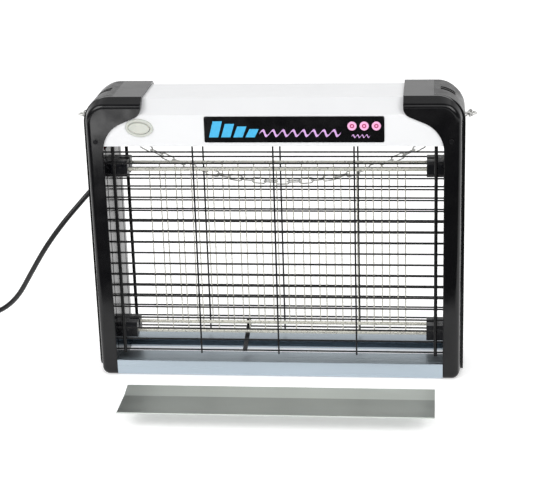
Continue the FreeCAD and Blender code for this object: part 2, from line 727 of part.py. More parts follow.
def guard(side):
    """side is -1 for the front guard and +1 for the rear one."""
    y = side * GUARD_Y
    wire_y = side * GUARD_WIRE_Y
    top = HOUSING_BOTTOM + PLATE_THICK + GUARD_ROD_GRIP
    pieces = []
    for x, radius in guard_rods():
        pieces.append(rod((x, y, GUARD_ROD_BOTTOM), (x, y, top), radius))
    for row in range(GUARD_WIRES):
        z = GUARD_LOWEST + row * GUARD_PITCH
        pieces.append(rod((-GUARD_WIRE_HALF, wire_y, z), (GUARD_WIRE_HALF, wire_y, z), GUARD_WIRE_R))
    return pieces[0].fuse(pieces[1:])


# ================================================================ killing grid
def comb(y, heights, count):
    low, high = heights
    pieces = [rod((-ROD_HALF, y, z), (ROD_HALF, y, z), ROD_R) for z in heights]
    first = -(count - 1) / 2 * COMB_PITCH
    for index in range(count):
        x = first + index * COMB_PITCH
        pieces.append(rod((x, y, low), (x, y, high), COMB_WIRE_R))
    return pieces[0].fuse(pieces[1:])


def insulator(upper):
    """Right-hand insulator: two fingers that hold the ends of the two rods."""
    z = insulator_z(upper)
    inner = FRAME_INNER - INSULATOR_LENGTH
    low = z - INSULATOR_HEIGHT / 2
    high = z + INSULATOR_HEIGHT / 2
    body = rounded_box(
        inner, FRAME_INNER, -INSULATOR_DEPTH / 2, INSULATOR_DEPTH / 2,
        low, high, INSULATOR_CORNER_R, (1, 0, 0),
    )
    width, length = INSULATOR_NOTCH
    cuts = [box(inner - CUT_OVER, inner + length, -width / 2, width / 2, low - CUT_OVER, high + CUT_OVER)]
    for y, rod_z in zip((-COMB_Y, COMB_Y), rod_pair(upper)):
        seat_start = (inner - CUT_OVER, y, rod_z)
        seat_end = (ROD_HALF + FIT_GAP, y, rod_z)
        cuts.append(rod(seat_start, seat_end, ROD_R + INSULATOR_BORE_GAP))
        cuts.append(rod(seat_end, (FRAME_INNER + CUT_OVER, y, rod_z), LEAD_R + FIT_GAP))
    screw_start = (FRAME_INNER - SCREW_SHANK, 0, z)
    screw_end = (FRAME_INNER + CUT_OVER, 0, z)
    cuts.append(rod(screw_start, screw_end, INSULATOR_SCREW_R - INSULATOR_SCREW_BITE))
    return body.cut(cuts)


def grid_stay():
    """Flat brace from the front guard's lowest wire, under the front rod, up behind the rear rod."""
    wire_back_y = -GUARD_WIRE_Y + GUARD_WIRE_R
    back_y = COMB_Y + ROD_R + FIT_GAP
    knee_z = REAR_COMB_Z[0] - ROD_R - STAY_THICK
    points = [
        (wire_back_y, GUARD_LOWEST),
        (back_y, knee_z),
        (back_y, REAR_COMB_Z[0] + 2 * ROD_R),
        (back_y + STAY_THICK, REAR_COMB_Z[0] + 2 * ROD_R),
        (back_y + STAY_THICK, knee_z - STAY_THICK),
        (wire_back_y, GUARD_LOWEST - STAY_THICK),
    ]
    x0 = STAY_X - STAY_WIDTH / 2
    return prism([(x0, y, z) for y, z in points], (STAY_WIDTH, 0, 0))


# ================================================================ base and tray
def base_rail(side):
    """Channel that opens towards the middle; side is -1 for the front, +1 for the rear."""
    outer = HALF_DEPTH
    points = [
        (outer, RAIL_BOTTOM),
        (outer, RAIL_TOP),
        (outer - RAIL_LIP, RAIL_TOP),
        (outer - RAIL_LIP - RAIL_LIP_GROOVE, RAIL_TOP - RAIL_LIP_GROOVE),
        (outer - RAIL_LIP - 2 * RAIL_LIP_GROOVE, RAIL_TOP),
        (outer - RAIL_TOP_FLANGE, RAIL_TOP),
        (outer - RAIL_TOP_FLANGE, RAIL_TOP - RAIL_THICK),
        (outer - RAIL_THICK, RAIL_TOP - RAIL_THICK),
        (outer - RAIL_THICK, RAIL_BOTTOM + RAIL_THICK),
        (outer - RAIL_BOTTOM_FLANGE, RAIL_BOTTOM + RAIL_THICK),
        (outer - RAIL_BOTTOM_FLANGE, RAIL_BOTTOM),
    ]
    section = [(-FRAME_INNER, side * y, z) for y, z in points]
    rail = prism(section, (2 * FRAME_INNER, 0, 0))
    edges = []
    for edge in rail.Edges:
        middle = edge.CenterOfMass
        on_corner = abs(abs(middle.y) - outer) < SAME_PLACE
        if on_corner and edge.BoundBox.XLength > FRAME_INNER:
            edges.append(edge)
    return rail.makeFillet(EDGE_ROUND, edges)


def tray_depth():
    return TRAY_LIP_RUN + TRAY_FLOOR + TRAY_BACK_RUN


def collection_tray():
    """Bent sheet: a narrow front lip, a flat floor and a rising back wing."""
    z = RAIL_TOP + TRAY_CLEARANCE
    front = -tray_depth() / 2 - TRAY_TRAVEL
    floor_front = front + TRAY_LIP_RUN
    floor_back = floor_front + TRAY_FLOOR
    back = floor_back + TRAY_BACK_RUN
    points = [
        (front, z + TRAY_LIP_RISE),
        (floor_front, z),
        (floor_back, z),
        (back, z + TRAY_BACK_RISE),
        (back, z + TRAY_BACK_RISE + TRAY_THICK),
        (floor_back, z + TRAY_THICK),
        (floor_front, z + TRAY_THICK),
        (front, z + TRAY_LIP_RISE + TRAY_THICK),
    ]
    half_length = FRAME_INNER - TRAY_END_SPACE
    x0 = TRAY_SIDE_OFFSET - half_length
    return prism([(x0, y, height) for y, height in points], (2 * half_length, 0, 0))


# ================================================================ light
def led_boards():
    pieces = []
    z0 = HOUSING_BOTTOM + PLATE_THICK - LED_BOARD_THICK
    length, width, thick = LED_SIZE
    count = int(2 * LED_BOARD_HALF / LED_PITCH)
    for y in (-LED_Y, LED_Y):
        board = box(
            -LED_BOARD_HALF, LED_BOARD_HALF, y - LED_BOARD_WIDTH / 2, y + LED_BOARD_WIDTH / 2,
            z0, z0 + LED_BOARD_THICK,
        )
        chips = []
        for index in range(count):
            x = (index - (count - 1) / 2) * LED_PITCH
            chips.append(box(x - length / 2, x + length / 2, y - width / 2, y + width / 2, z0 - thick, z0))
        pieces.append(fused([board] + chips))
    return Part.Compound(pieces)


def led_diffusers():
    pieces = []
    half_length = LED_BOARD_HALF + DIFFUSER_OVERLAP
    drop = LED_BOARD_THICK - PLATE_THICK + LED_SIZE[2] + FIT_GAP
    for y in (-LED_Y, LED_Y):
        strip = rounded_box(
            -half_length, half_length, y - DIFFUSER_WIDTH / 2, y + DIFFUSER_WIDTH / 2,
            HOUSING_BOTTOM - DIFFUSER_THICK, HOUSING_BOTTOM, DIFFUSER_CORNER_R, (0, 0, 1),
        )
        channel = box(
            -LED_BOARD_HALF, LED_BOARD_HALF, y - LED_SIZE[1], y + LED_SIZE[1],
            HOUSING_BOTTOM - drop, HOUSING_BOTTOM + CUT_OVER,
        )
        pieces.append(strip.cut(channel))
    return Part.Compound(pieces)


# ================================================================ electronics
def board_base_z():
    return HOUSING_BOTTOM + PLATE_THICK + BOARD_LIFT


def board_posts():
    """X and Y of the stand-offs under the circuit board's corners."""
    places = []
    for dx in (-1, 1):
        for dy in (-1, 1):
            places.append((
                BOARD_X + dx * (BOARD_SIZE[0] / 2 - 2 * POST_R),
                dy * (BOARD_SIZE[1] / 2 - 1.5 * POST_R),
            ))
    return places


def circuit_board():
    length, width, thick = BOARD_SIZE
    z0 = board_base_z()
    return box(BOARD_X - length / 2, BOARD_X + length / 2, -width / 2, width / 2, z0, z0 + thick)


def board_standoffs():
    z0 = HOUSING_BOTTOM + PLATE_THICK
    posts = [rod((x, y, z0), (x, y, board_base_z()), POST_R) for x, y in board_posts()]
    return Part.Compound(posts)


def transformer():
    length, width, height = TRANSFORMER_SIZE
    z0 = board_base_z() + BOARD_SIZE[2]
    x0 = BOARD_X - BOARD_SIZE[0] / 2 + TRANSFORMER_INSET
    core = box(x0, x0 + length, -width / 2, width / 2, z0, z0 + height)
    side = width / 2 + BOBBIN_PROUD
    bobbin = box(
        x0 + BOBBIN_INSET, x0 + length - BOBBIN_INSET, -side, side,
        z0 + BOBBIN_INSET, z0 + height - BOBBIN_INSET,
    )
    return fused([core, bobbin])


def capacitors():
    length, width, height = CAPACITOR_SIZE
    z0 = board_base_z() + BOARD_SIZE[2]
    first = BOARD_X - BOARD_SIZE[0] / 2 + TRANSFORMER_INSET + TRANSFORMER_SIZE[0] + CAPACITOR_GAP
    pieces = []
    for index in range(CAPACITOR_COUNT):
        x0 = first + index // 2 * CAPACITOR_PITCH
        y0 = -width - CAPACITOR_GAP if index % 2 == 0 else CAPACITOR_GAP
        pieces.append(rounded_box(
            x0, x0 + length, y0, y0 + width, z0, z0 + height, CAPACITOR_CORNER_R, (0, 0, 1),
        ))
    return Part.Compound(pieces)


def tube(points, radius, bends):
    """A round tube along straight runs joined by tangent arcs of the given radii."""
    vectors = [V(*p) for p in points]
    edges = []
    at = vectors[0]
    for index in range(1, len(vectors) - 1):
        corner = vectors[index]
        back = (vectors[index - 1] - corner).normalize()
        ahead = (vectors[index + 1] - corner).normalize()
        half_turn = (math.pi - back.getAngle(ahead)) / 2
        setback = bends[index - 1] * math.tan(half_turn)
        start = corner + back * setback
        end = corner + ahead * setback
        to_centre = (back + ahead).normalize()
        centre = corner + to_centre * (bends[index - 1] / math.cos(half_turn))
        middle = centre - to_centre * bends[index - 1]
        if (start - at).Length > 1e-6:
            edges.append(Part.LineSegment(at, start).toShape())
        edges.append(Part.Arc(start, middle, end).toShape())
        at = end
    edges.append(Part.LineSegment(at, vectors[-1]).toShape())
    path = Part.Wire(edges)
    tangent = (vectors[1] - vectors[0]).normalize()
    section = Part.Wire(Part.Circle(vectors[0], tangent, radius).toShape())
    solid = path.makePipeShell([section], True, False, 2)
    return solid, path.Length


def bend_radii(points, share=0.45):
    """The largest arc that the two runs beside each inner point allow."""
    vectors = [V(*p) for p in points]
    radii = []
    for index in range(1, len(vectors) - 1):
        before = vectors[index - 1] - vectors[index]
        after = vectors[index + 1] - vectors[index]
        half_turn = (math.pi - before.getAngle(after)) / 2
        radii.append(share * min(before.Length, after.Length) / math.tan(half_turn))
    return radii


def hv_lead(y, z):
    """Lead from the circuit board through the left frame to one comb's upper rod."""
    board_top = board_base_z() + BOARD_SIZE[2]
    run_z = board_top + LEAD_LIFT
    start_x = BOARD_X - BOARD_SIZE[0] / 2 + LEAD_INSET
    well_x = -(FRAME_INNER + FRAME_WALL + LEAD_WELL)
    lane = math.copysign(LEAD_LANE, y)
    points = [
        (start_x, lane, board_top),
        (start_x, lane, run_z),
        (well_x, y, run_z),
        (well_x, y, z),
        (-ROD_HALF, y, z),
    ]
    lead, _ = tube(points, LEAD_R, [LEAD_BEND_R] * (len(points) - 2))
    return lead


# ================================================================ fasteners
def screw(base, direction):
    """Pan-head screw: base is under the head and direction points into the work."""
    into = V(*direction)
    at = V(*base)
    shank = Part.makeCylinder(SCREW_SHANK_R - FIT_GAP, SCREW_SHANK, at, into)
    head = Part.makeCylinder(SCREW_HEAD_R, SCREW_HEAD, at - into * SCREW_HEAD, into)
    rims = []
    for edge in head.Edges:
        if (edge.CenterOfMass - (at - into * SCREW_HEAD)).Length < SAME_PLACE:
            rims.append(edge)
    head = head.makeFillet(SCREW_HEAD * 0.5, rims)
    return fused([shank, head])


def cover_screws():
    pieces = []
    for x in (-COVER_SCREW_X, COVER_SCREW_X):
        for y, inwards in ((FRONT, 1), (HALF_DEPTH, -1)):
            pieces.append(screw((x, y, COVER_SCREW_Z), (0, inwards, 0)))
    return Part.Compound(pieces)


def plate_screws():
    pieces = []
    for x in (-PLATE_SCREW_X, PLATE_SCREW_X):
        for y in (-PLATE_SCREW_Y, PLATE_SCREW_Y):
            pieces.append(screw((x, y, HOUSING_BOTTOM), (0, 0, 1)))
    return Part.Compound(pieces)


def insulator_screws():
    pieces = []
    for side in (-1, 1):
        x = side * (FRAME_INNER + FRAME_WALL)
        for upper in (False, True):
            pieces.append(screw((x, 0, insulator_z(upper)), (-side, 0, 0)))
    return Part.Compound(pieces)


# ================================================================ hanging chain
def eye(side):
    """Wire staple on the outside of a side band."""
    face_x = side * (FRAME_OUTER + BAND_PROUD)
    ring = Part.makeTorus(EYE_R, EYE_WIRE_R, V(side * EYE_X, 0, EYE_Z), V(0, 0, 1))
    stem = rod((face_x, 0, EYE_Z), (face_x + side * EYE_STEM_LENGTH, 0, EYE_Z), EYE_STEM_R)
    return fused([ring, stem])


def chain_span_point(share):
    """A point of the slack span; share runs from -1 to 1 across it."""
    top = EYE_Z - CHAIN_CORNER_DROP
    sag = (math.cosh(CHAIN_STEEPNESS * share) - 1) / (math.cosh(CHAIN_STEEPNESS) - 1)
    half_span = FRAME_OUTER + CHAIN_CORNER_OUT
    return V(share * half_span, CHAIN_Y, CHAIN_LOW_Z + (top - CHAIN_LOW_Z) * sag)


def chain_half():
    """Points from the middle of the span, round the rear corner, to the right eye."""
    steps = 26
    turn_steps = 6
    last_share = 0.9
    points = [chain_span_point(last_share * index / steps) for index in range(steps + 1)]
    corner = chain_span_point(1.0)
    hook = V(EYE_X, EYE_R - EYE_WIRE_R - FIT_GAP, EYE_Z)
    turn_start = points[-1]
    turn_end = corner + (hook - corner).normalize() * CHAIN_CORNER_CUT
    for index in range(1, turn_steps + 1):
        share = index / turn_steps
        first = turn_start + (corner - turn_start) * share
        second = corner + (turn_end - corner) * share
        points.append(first + (second - first) * share)
    return points + [hook]


def chain_path():
    """Points along the chain, from the left eye round the back to the right eye."""
    right = chain_half()
    left = [V(-p.x, p.y, p.z) for p in reversed(right[1:])]
    return left + right


def chain_link(centre, along, roll):
    """One oval link, its long side along the chain."""
    half = (LINK_PITCH - LINK_WIDTH) / 2 + LINK_WIRE_R
    round_r = LINK_WIDTH / 2
    pieces = []
    for side in (-1, 1):
        bar = Part.makeCylinder(LINK_WIRE_R, 2 * half, V(-half, side * round_r, 0), V(1, 0, 0))
        pieces.append(bar)
        ring = Part.makeTorus(round_r, LINK_WIRE_R, V(0, 0, 0), V(0, 0, 1))
        clip = box(0, 2 * LINK_WIDTH, -LINK_WIDTH, LINK_WIDTH, -LINK_WIDTH, LINK_WIDTH)
        bow = ring.common(clip)
        bow.translate(V(half, 0, 0))
        if side < 0:
            bow = bow.mirror(V(0, 0, 0), V(1, 0, 0))
        pieces.append(bow)
    link = fused(pieces)
    link.rotate(V(0, 0, 0), V(1, 0, 0), roll)
    turn = FreeCAD.Rotation(V(1, 0, 0), along)
    link.Placement = FreeCAD.Placement(centre, turn).multiply(link.Placement)
    return link


def hanging_chain():
    """An odd number of links, so that both end links stand upright in their eyes."""
    path = chain_path()
    lengths = [0.0]
    for a, b in zip(path, path[1:]):
        lengths.append(lengths[-1] + (b - a).Length)
    count = 1 + 2 * math.ceil((lengths[-1] / LINK_PITCH - 1) / 2)
    pitch = lengths[-1] / count
    links = []
    for index in range(count):
        want = pitch * (index + 0.5)
        step = 0
        while lengths[step + 1] < want:
            step += 1
        share = (want - lengths[step]) / (lengths[step + 1] - lengths[step])
        centre = path[step] + (path[step + 1] - path[step]) * share
        along = (path[step + 1] - path[step]).normalize()
        links.append(chain_link(centre, along, 90 * ((index + 1) % 2)))
    return Part.Compound(links)


# ================================================================ power cord
def strain_relief():
    x, y, z = CORD_EXIT
    out = V(0, 1, 0)
    tip_r = CORD_D / 2 + RELIEF_WALL
    sleeve = Part.makeCone(RELIEF_ROOT_R, tip_r, RELIEF_LENGTH, V(x, y, z), out)
    bore = rod((x, y - CUT_OVER, z), (x, y + RELIEF_LENGTH + CUT_OVER, z), CORD_D / 2 + FIT_GAP)
    grooves = []
    for index in range(RELIEF_GROOVES):
        at = y + RELIEF_LENGTH * (index + 1) / (RELIEF_GROOVES + 1)
        ring = Part.makeCylinder(RELIEF_ROOT_R + CUT_OVER, RELIEF_GROOVE, V(x, at, z), out)
        core = Part.makeCylinder(tip_r - RELIEF_WALL / 4, RELIEF_GROOVE, V(x, at, z), out)
        grooves.append(ring.cut(core))
    return sleeve.cut([bore] + grooves)


def cord_route():
    x, y, z = CORD_EXIT
    return [(x, y - FRAME_WALL, z)] + CORD_POINTS


def power_cord():
    """The free stretch from the strain relief to the coil, and the tail from the coil to the plug."""
    route = cord_route()
    radii = bend_radii(route)
    cord, length = tube(route, CORD_D / 2, radii)
    expected = math.pi * CORD_D ** 2 / 4 * length
    print("cord tube length", round(length, 1), "volume share", round(cord.Volume / expected, 4))
    print("cord radii", [round(r, 1) for r in radii])
    plug_x, plug_y, plug_z = plug_entry()
    tail = rod((plug_x, coil_centre()[1], plug_z), (plug_x, plug_y, plug_z), CORD_D / 2)
    return Part.Compound([cord, tail])


def coil_centre():
    """Middle of the coil, whose outer turn the cord's end runs into."""
    x, y, _ = CORD_POINTS[-1]
    return x, y - COIL_LAST_TURN_R


def power_cord_coil():
    x, y = coil_centre()
    height = CORD_D + COIL_PITCH * (COIL_LAYERS - 1)
    up = V(0, 0, 1)
    ring = Part.makeCylinder(COIL_OUTER_R, height, V(x, y, FLOOR_GAP), up)
    hole = Part.makeCylinder(COIL_INNER_R, height, V(x, y, FLOOR_GAP), up)
    return ring.cut(hole)


def plug_entry():
    """Where the tail, straight off the side of the outer turn, enters the plug beside the coil."""
    x, y = coil_centre()
    return x - COIL_LAST_TURN_R, y - COIL_OUTER_R, FLOOR_GAP + PLUG_HEIGHT / 2


def power_plug():
    x, y, _ = plug_entry()
    return rounded_box(
        x - PLUG_WIDTH / 2, x + PLUG_WIDTH / 2, y - PLUG_LENGTH, y,
        FLOOR_GAP, FLOOR_GAP + PLUG_HEIGHT, PLUG_CORNER_R, (0, 1, 0),
    )


def plug_pins():
    x, y, z = plug_entry()
    base_y = y - PLUG_LENGTH
    pins = []
    for pin_x in (x - PIN_SPACING / 2, x + PIN_SPACING / 2):
        pins.append(rod((pin_x, base_y - PIN_LENGTH, z), (pin_x, base_y, z), PIN_R))
    return Part.Compound(pins)


# ================================================================ build
def main():
    os.makedirs("parts", exist_ok=True)
    for side, name in ((-1, "left"), (1, "right")):
        frame = sided(side_frame(), side)
        if side < 0:
            frame = frame.cut(lead_holes() + [relief_hole()])
        cover = sided(corner_cover(), side)
        if side < 0:
            cover = cover.cut(bezel_relief())
        save("side_frame_" + name, frame)
        save("corner_cover_" + name, cover)
        save("side_band_" + name, sided(side_band(), side))
        save("upper_insulator_" + name, sided(insulator(True), side))
        save("lower_insulator_" + name, sided(insulator(False), side))
        save("hanger_eye_" + name, eye(side))
    save("top_housing", top_housing())
    save("housing_bottom_plate", housing_bottom_plate())
    save("label_plate", label_plate())
    save("switch_bezel", switch_bezel())
    save("switch_cap", switch_cap())
    save("switch_body", switch_body())
    save("front_guard", guard(-1))
    save("rear_guard", guard(1))
    save("grid_comb_front", comb(-COMB_Y, FRONT_COMB_Z, FRONT_COMB_WIRES))
    save("grid_comb_rear", comb(COMB_Y, REAR_COMB_Z, REAR_COMB_WIRES))
    save("grid_stay", grid_stay())
    save("front_rail", base_rail(-1))
    save("rear_rail", base_rail(1))
    save("collection_tray", collection_tray())
    save("led_boards", led_boards())
    save("led_diffusers", led_diffusers())
    save("circuit_board", circuit_board())
    save("board_standoffs", board_standoffs())
    save("transformer", transformer())
    save("capacitors", capacitors())
    save("hv_lead_front", hv_lead(-COMB_Y, FRONT_COMB_Z[1]))
    save("hv_lead_rear", hv_lead(COMB_Y, REAR_COMB_Z[1]))
    save("cover_screws", cover_screws())
    save("plate_screws", plate_screws())
    save("insulator_screws", insulator_screws())
    save("hanging_chain", hanging_chain())
    save("strain_relief", strain_relief())
    save("power_cord", power_cord())
    save("power_cord_coil", power_cord_coil())
    save("power_plug", power_plug())
    save("plug_pins", plug_pins())


main()
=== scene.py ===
"""Looks of the electric bug zapper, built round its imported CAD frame.

Metres.  +X to the right, +Y to the back, +Z up, standing on Z = 0.
"""

import json
import math

import bmesh
import bpy
from mathutils import Matrix, Vector


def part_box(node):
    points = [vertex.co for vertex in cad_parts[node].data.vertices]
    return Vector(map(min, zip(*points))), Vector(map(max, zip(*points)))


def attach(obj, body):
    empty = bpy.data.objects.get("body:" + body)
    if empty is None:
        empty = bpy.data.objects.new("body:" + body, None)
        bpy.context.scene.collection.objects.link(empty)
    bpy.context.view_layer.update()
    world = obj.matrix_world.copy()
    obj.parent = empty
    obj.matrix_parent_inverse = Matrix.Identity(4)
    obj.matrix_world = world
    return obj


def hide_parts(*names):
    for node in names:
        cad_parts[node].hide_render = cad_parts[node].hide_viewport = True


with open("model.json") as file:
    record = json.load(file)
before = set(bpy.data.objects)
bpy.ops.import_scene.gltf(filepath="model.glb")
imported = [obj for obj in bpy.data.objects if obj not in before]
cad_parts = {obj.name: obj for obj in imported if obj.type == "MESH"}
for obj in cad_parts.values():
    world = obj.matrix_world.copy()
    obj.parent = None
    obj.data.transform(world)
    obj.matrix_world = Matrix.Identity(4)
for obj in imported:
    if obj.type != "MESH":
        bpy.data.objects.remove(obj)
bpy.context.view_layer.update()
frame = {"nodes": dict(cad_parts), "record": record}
NODES = frame["nodes"]
MM = 0.001

# ================================================================ sizes and places
# Power cord: its route, in millimetres, is the one that the CAD solid follows.
CORD_D = 5.0 * MM
CORD_START = (-159.0, 35.5, 176.0)
CORD_POINTS = [
    (-159.0, 68.5, 176.0),
    (-163.5, 84.0, 170.0),
    (-173.5, 94.0, 158.5),
    (-187.0, 96.5, 144.0),
    (-203.0, 90.0, 127.0),
    (-220.0, 82.0, 108.5),
    (-239.0, 78.0, 84.0),
    (-257.0, 80.0, 55.0),
    (-274.0, 86.0, 27.0),
    (-296.0, 92.0, 8.5),
    (-322.0, 97.0, 2.6),
    (-348.0, 98.0, 2.6),
]
COIL_PITCH = 5.2 * MM
COIL_MEAN_R = 27.0 * MM
COIL_STEPS = 18              # points in each turn
COIL_FIRST_STEP = 2          # the route's last point stands in for the steps before this one
COIL_SHIFT = 5               # points over which a turn moves to the next lane
# Lanes of the winding, as (ring, layer): down the outer ring last, to leave for the plug.
COIL_LANES = [(1, 0), (0, 0), (0, 1), (0, 2), (1, 2), (1, 1)]
PLUG_RUN = (20.0, 8.0, 0.0)  # how far behind the plug the cord's last points lie, in millimetres

# Tie round the coil.
TIE_ANGLE = 35.0             # degrees round the coil, from +X
TIE_GAP = 0.7 * MM           # from the turns to the strap, on the sides and the top
TIE_CORNER_R = 2.6 * MM
TIE_HALF_WIDTH = 2.0 * MM
TIE_THICK = 0.5 * MM
TIE_CORNER_STEPS = 8
BUCKLE_LENGTH = 5.0 * MM
BUCKLE_WIDTH = 6.0 * MM
BUCKLE_HEIGHT = 2.2 * MM
BUCKLE_RISE = 0.9 * MM       # from the strap's outside to the buckle's middle

# Sleeve and finger ribs of the plug.
SLEEVE_LENGTH = 17.0 * MM
SLEEVE_SUNK = 0.6 * MM       # length of the sleeve's root inside the plug
SLEEVE_ROOT_R = 4.6 * MM
SLEEVE_TIP_R = 3.1 * MM
SLEEVE_RIBS = 5
SLEEVE_GROOVE = 0.5 * MM
SLEEVE_BITE = 0.1 * MM       # the sleeve's mouth is this much inside the cord's surface
SLEEVE_STEPS = 28
# One rib and the groove after it: share of their length, and depth as a share of the groove's.
SLEEVE_RIB_PROFILE = ((0.0, 0), (0.55, 0), (0.62, 1), (0.92, 1))
GRIPS = 5
GRIP_SETBACK = 5.0 * MM      # from the plug's back to the middle of the first rib
GRIP_PITCH = 2.6 * MM
GRIP_LENGTH = 16.0 * MM
GRIP_SHRINK = 1.4 * MM       # each rib is this much shorter than the one behind it
GRIP_WIDTH = 1.2 * MM
GRIP_HEIGHT = 0.9 * MM
GRIP_SUNK = 0.3 * MM
SMALL_EDGE = 0.3 * MM        # rounding of the tie's and the ribs' edges

# Tray: where its painted shade and painted highlight change, and over what distance.
TRAY_LIP = 2.4 * MM
TRAY_BACK = 17.0 * MM
TRAY_LIP_HIGHLIGHT_BLEND = 0.3 * MM
TRAY_FLOOR_SHADE_BLEND = 0.4 * MM

# Printing on the label.
INK_THICK = 0.08 * MM
RING_THICK = 0.04 * MM


# ================================================================ camera
def make_camera():
    """A long lens above and a little to the right of the front.

    It looks down by pitch and away from +Y by yaw, and is rolled about its own axis, in radians.
    """
    place = Vector((0.14587, -1.34598, 0.59462))
    pitch, yaw, roll = 0.3372620, -0.1093576, -0.0306338
    ahead = Vector((
        math.sin(yaw) * math.cos(pitch), math.cos(yaw) * math.cos(pitch), -math.sin(pitch),
    ))
    level_right = ahead.cross(Vector((0, 0, 1))).normalized()
    level_up = level_right.cross(ahead)
    right = math.cos(roll) * level_right + math.sin(roll) * level_up
    up = -math.sin(roll) * level_right + math.cos(roll) * level_up
    data = bpy.data.cameras.new("camera")
    data.lens = 102.15
    data.sensor_width = 36.0
    data.clip_start = 0.05
    data.clip_end = 60.0
    camera = link("camera", data)
    turn = Matrix((right, up, -ahead)).transposed()
    camera.matrix_world = Matrix.Translation(place) @ turn.to_4x4()
    bpy.context.scene.camera = camera


# ================================================================ mesh helpers
def link(name, data):
    piece = bpy.data.objects.new(name, data)
    bpy.context.scene.collection.objects.link(piece)
    return piece


def mesh_piece(name, build, body, material):
    """A piece whose bmesh is filled in by build; it rides on a body."""
    data = bpy.data.meshes.new(name)
    bm = bmesh.new()
    build(bm)
    bm.normal_update()
    bm.to_mesh(data)
    bm.free()
    data.materials.append(material)
    piece = link(name, data)
    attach(piece, body)
    return piece


def bevel(piece, width):
    """Rounds the piece's sharp edges."""
    modifier = piece.modifiers.new("edge", "BEVEL")
    modifier.width = width
    modifier.segments = 2
    modifier.limit_method = "ANGLE"
    modifier.angle_limit = math.radians(35.0)
    return piece


def circle(cx, cz, radius, steps):
    """Points round an upright circle, as (x, z)."""
    angles = [2 * math.pi * step / steps for step in range(steps)]
    return [(cx + radius * math.cos(a), cz + radius * math.sin(a)) for a in angles]


def upright_loop(bm, outline, y):
    """New vertices along an outline of (x, z) points, all at the same y."""
    return [bm.verts.new((x, y, z)) for x, z in outline]


def join_loops(bm, first, second):
    """A closed band of four-sided faces between two loops of as many vertices."""
    count = len(first)
    for i in range(count):
        j = (i + 1) % count
        bm.faces.new((first[i], first[j], second[j], second[i]))


def join_cycle(bm, loops):
    """Bands from each loop to the next, and from the last back to the first."""
    for first, second in zip(loops, loops[1:] + loops[:1]):
        join_loops(bm, first, second)


def extrude_outline(bm, outline, y_back, y_front):
    """An upright plate of an outline of (x, z) points."""
    front = upright_loop(bm, outline, y_front)
    back = upright_loop(bm, outline, y_back)
    bm.faces.new(front)
    bm.faces.new(list(reversed(back)))
    join_loops(bm, back, front)


def add_block(bm, middle, along, across, up):
    """A block whose edges are the three vectors."""
    for vertex in bmesh.ops.create_cube(bm, size=1.0)["verts"]:
        x, y, z = vertex.co
        vertex.co = middle + x * along + y * across + z * up


# ================================================================ material helpers
SHADER_SOCKETS = {
    "coat": "Coat Weight",
    "coat_rough": "Coat Roughness",
    "ior": "IOR",
    "specular": "Specular IOR Level",
    "anisotropic": "Anisotropic",
    "transmission": "Transmission Weight",
    "subsurface": "Subsurface Weight",
    "emission_strength": "Emission Strength",
}
# The colour sockets of a Mix node, which come after its number and vector sockets.
MIX_A = 6
MIX_B = 7
MIX_RESULT = 2


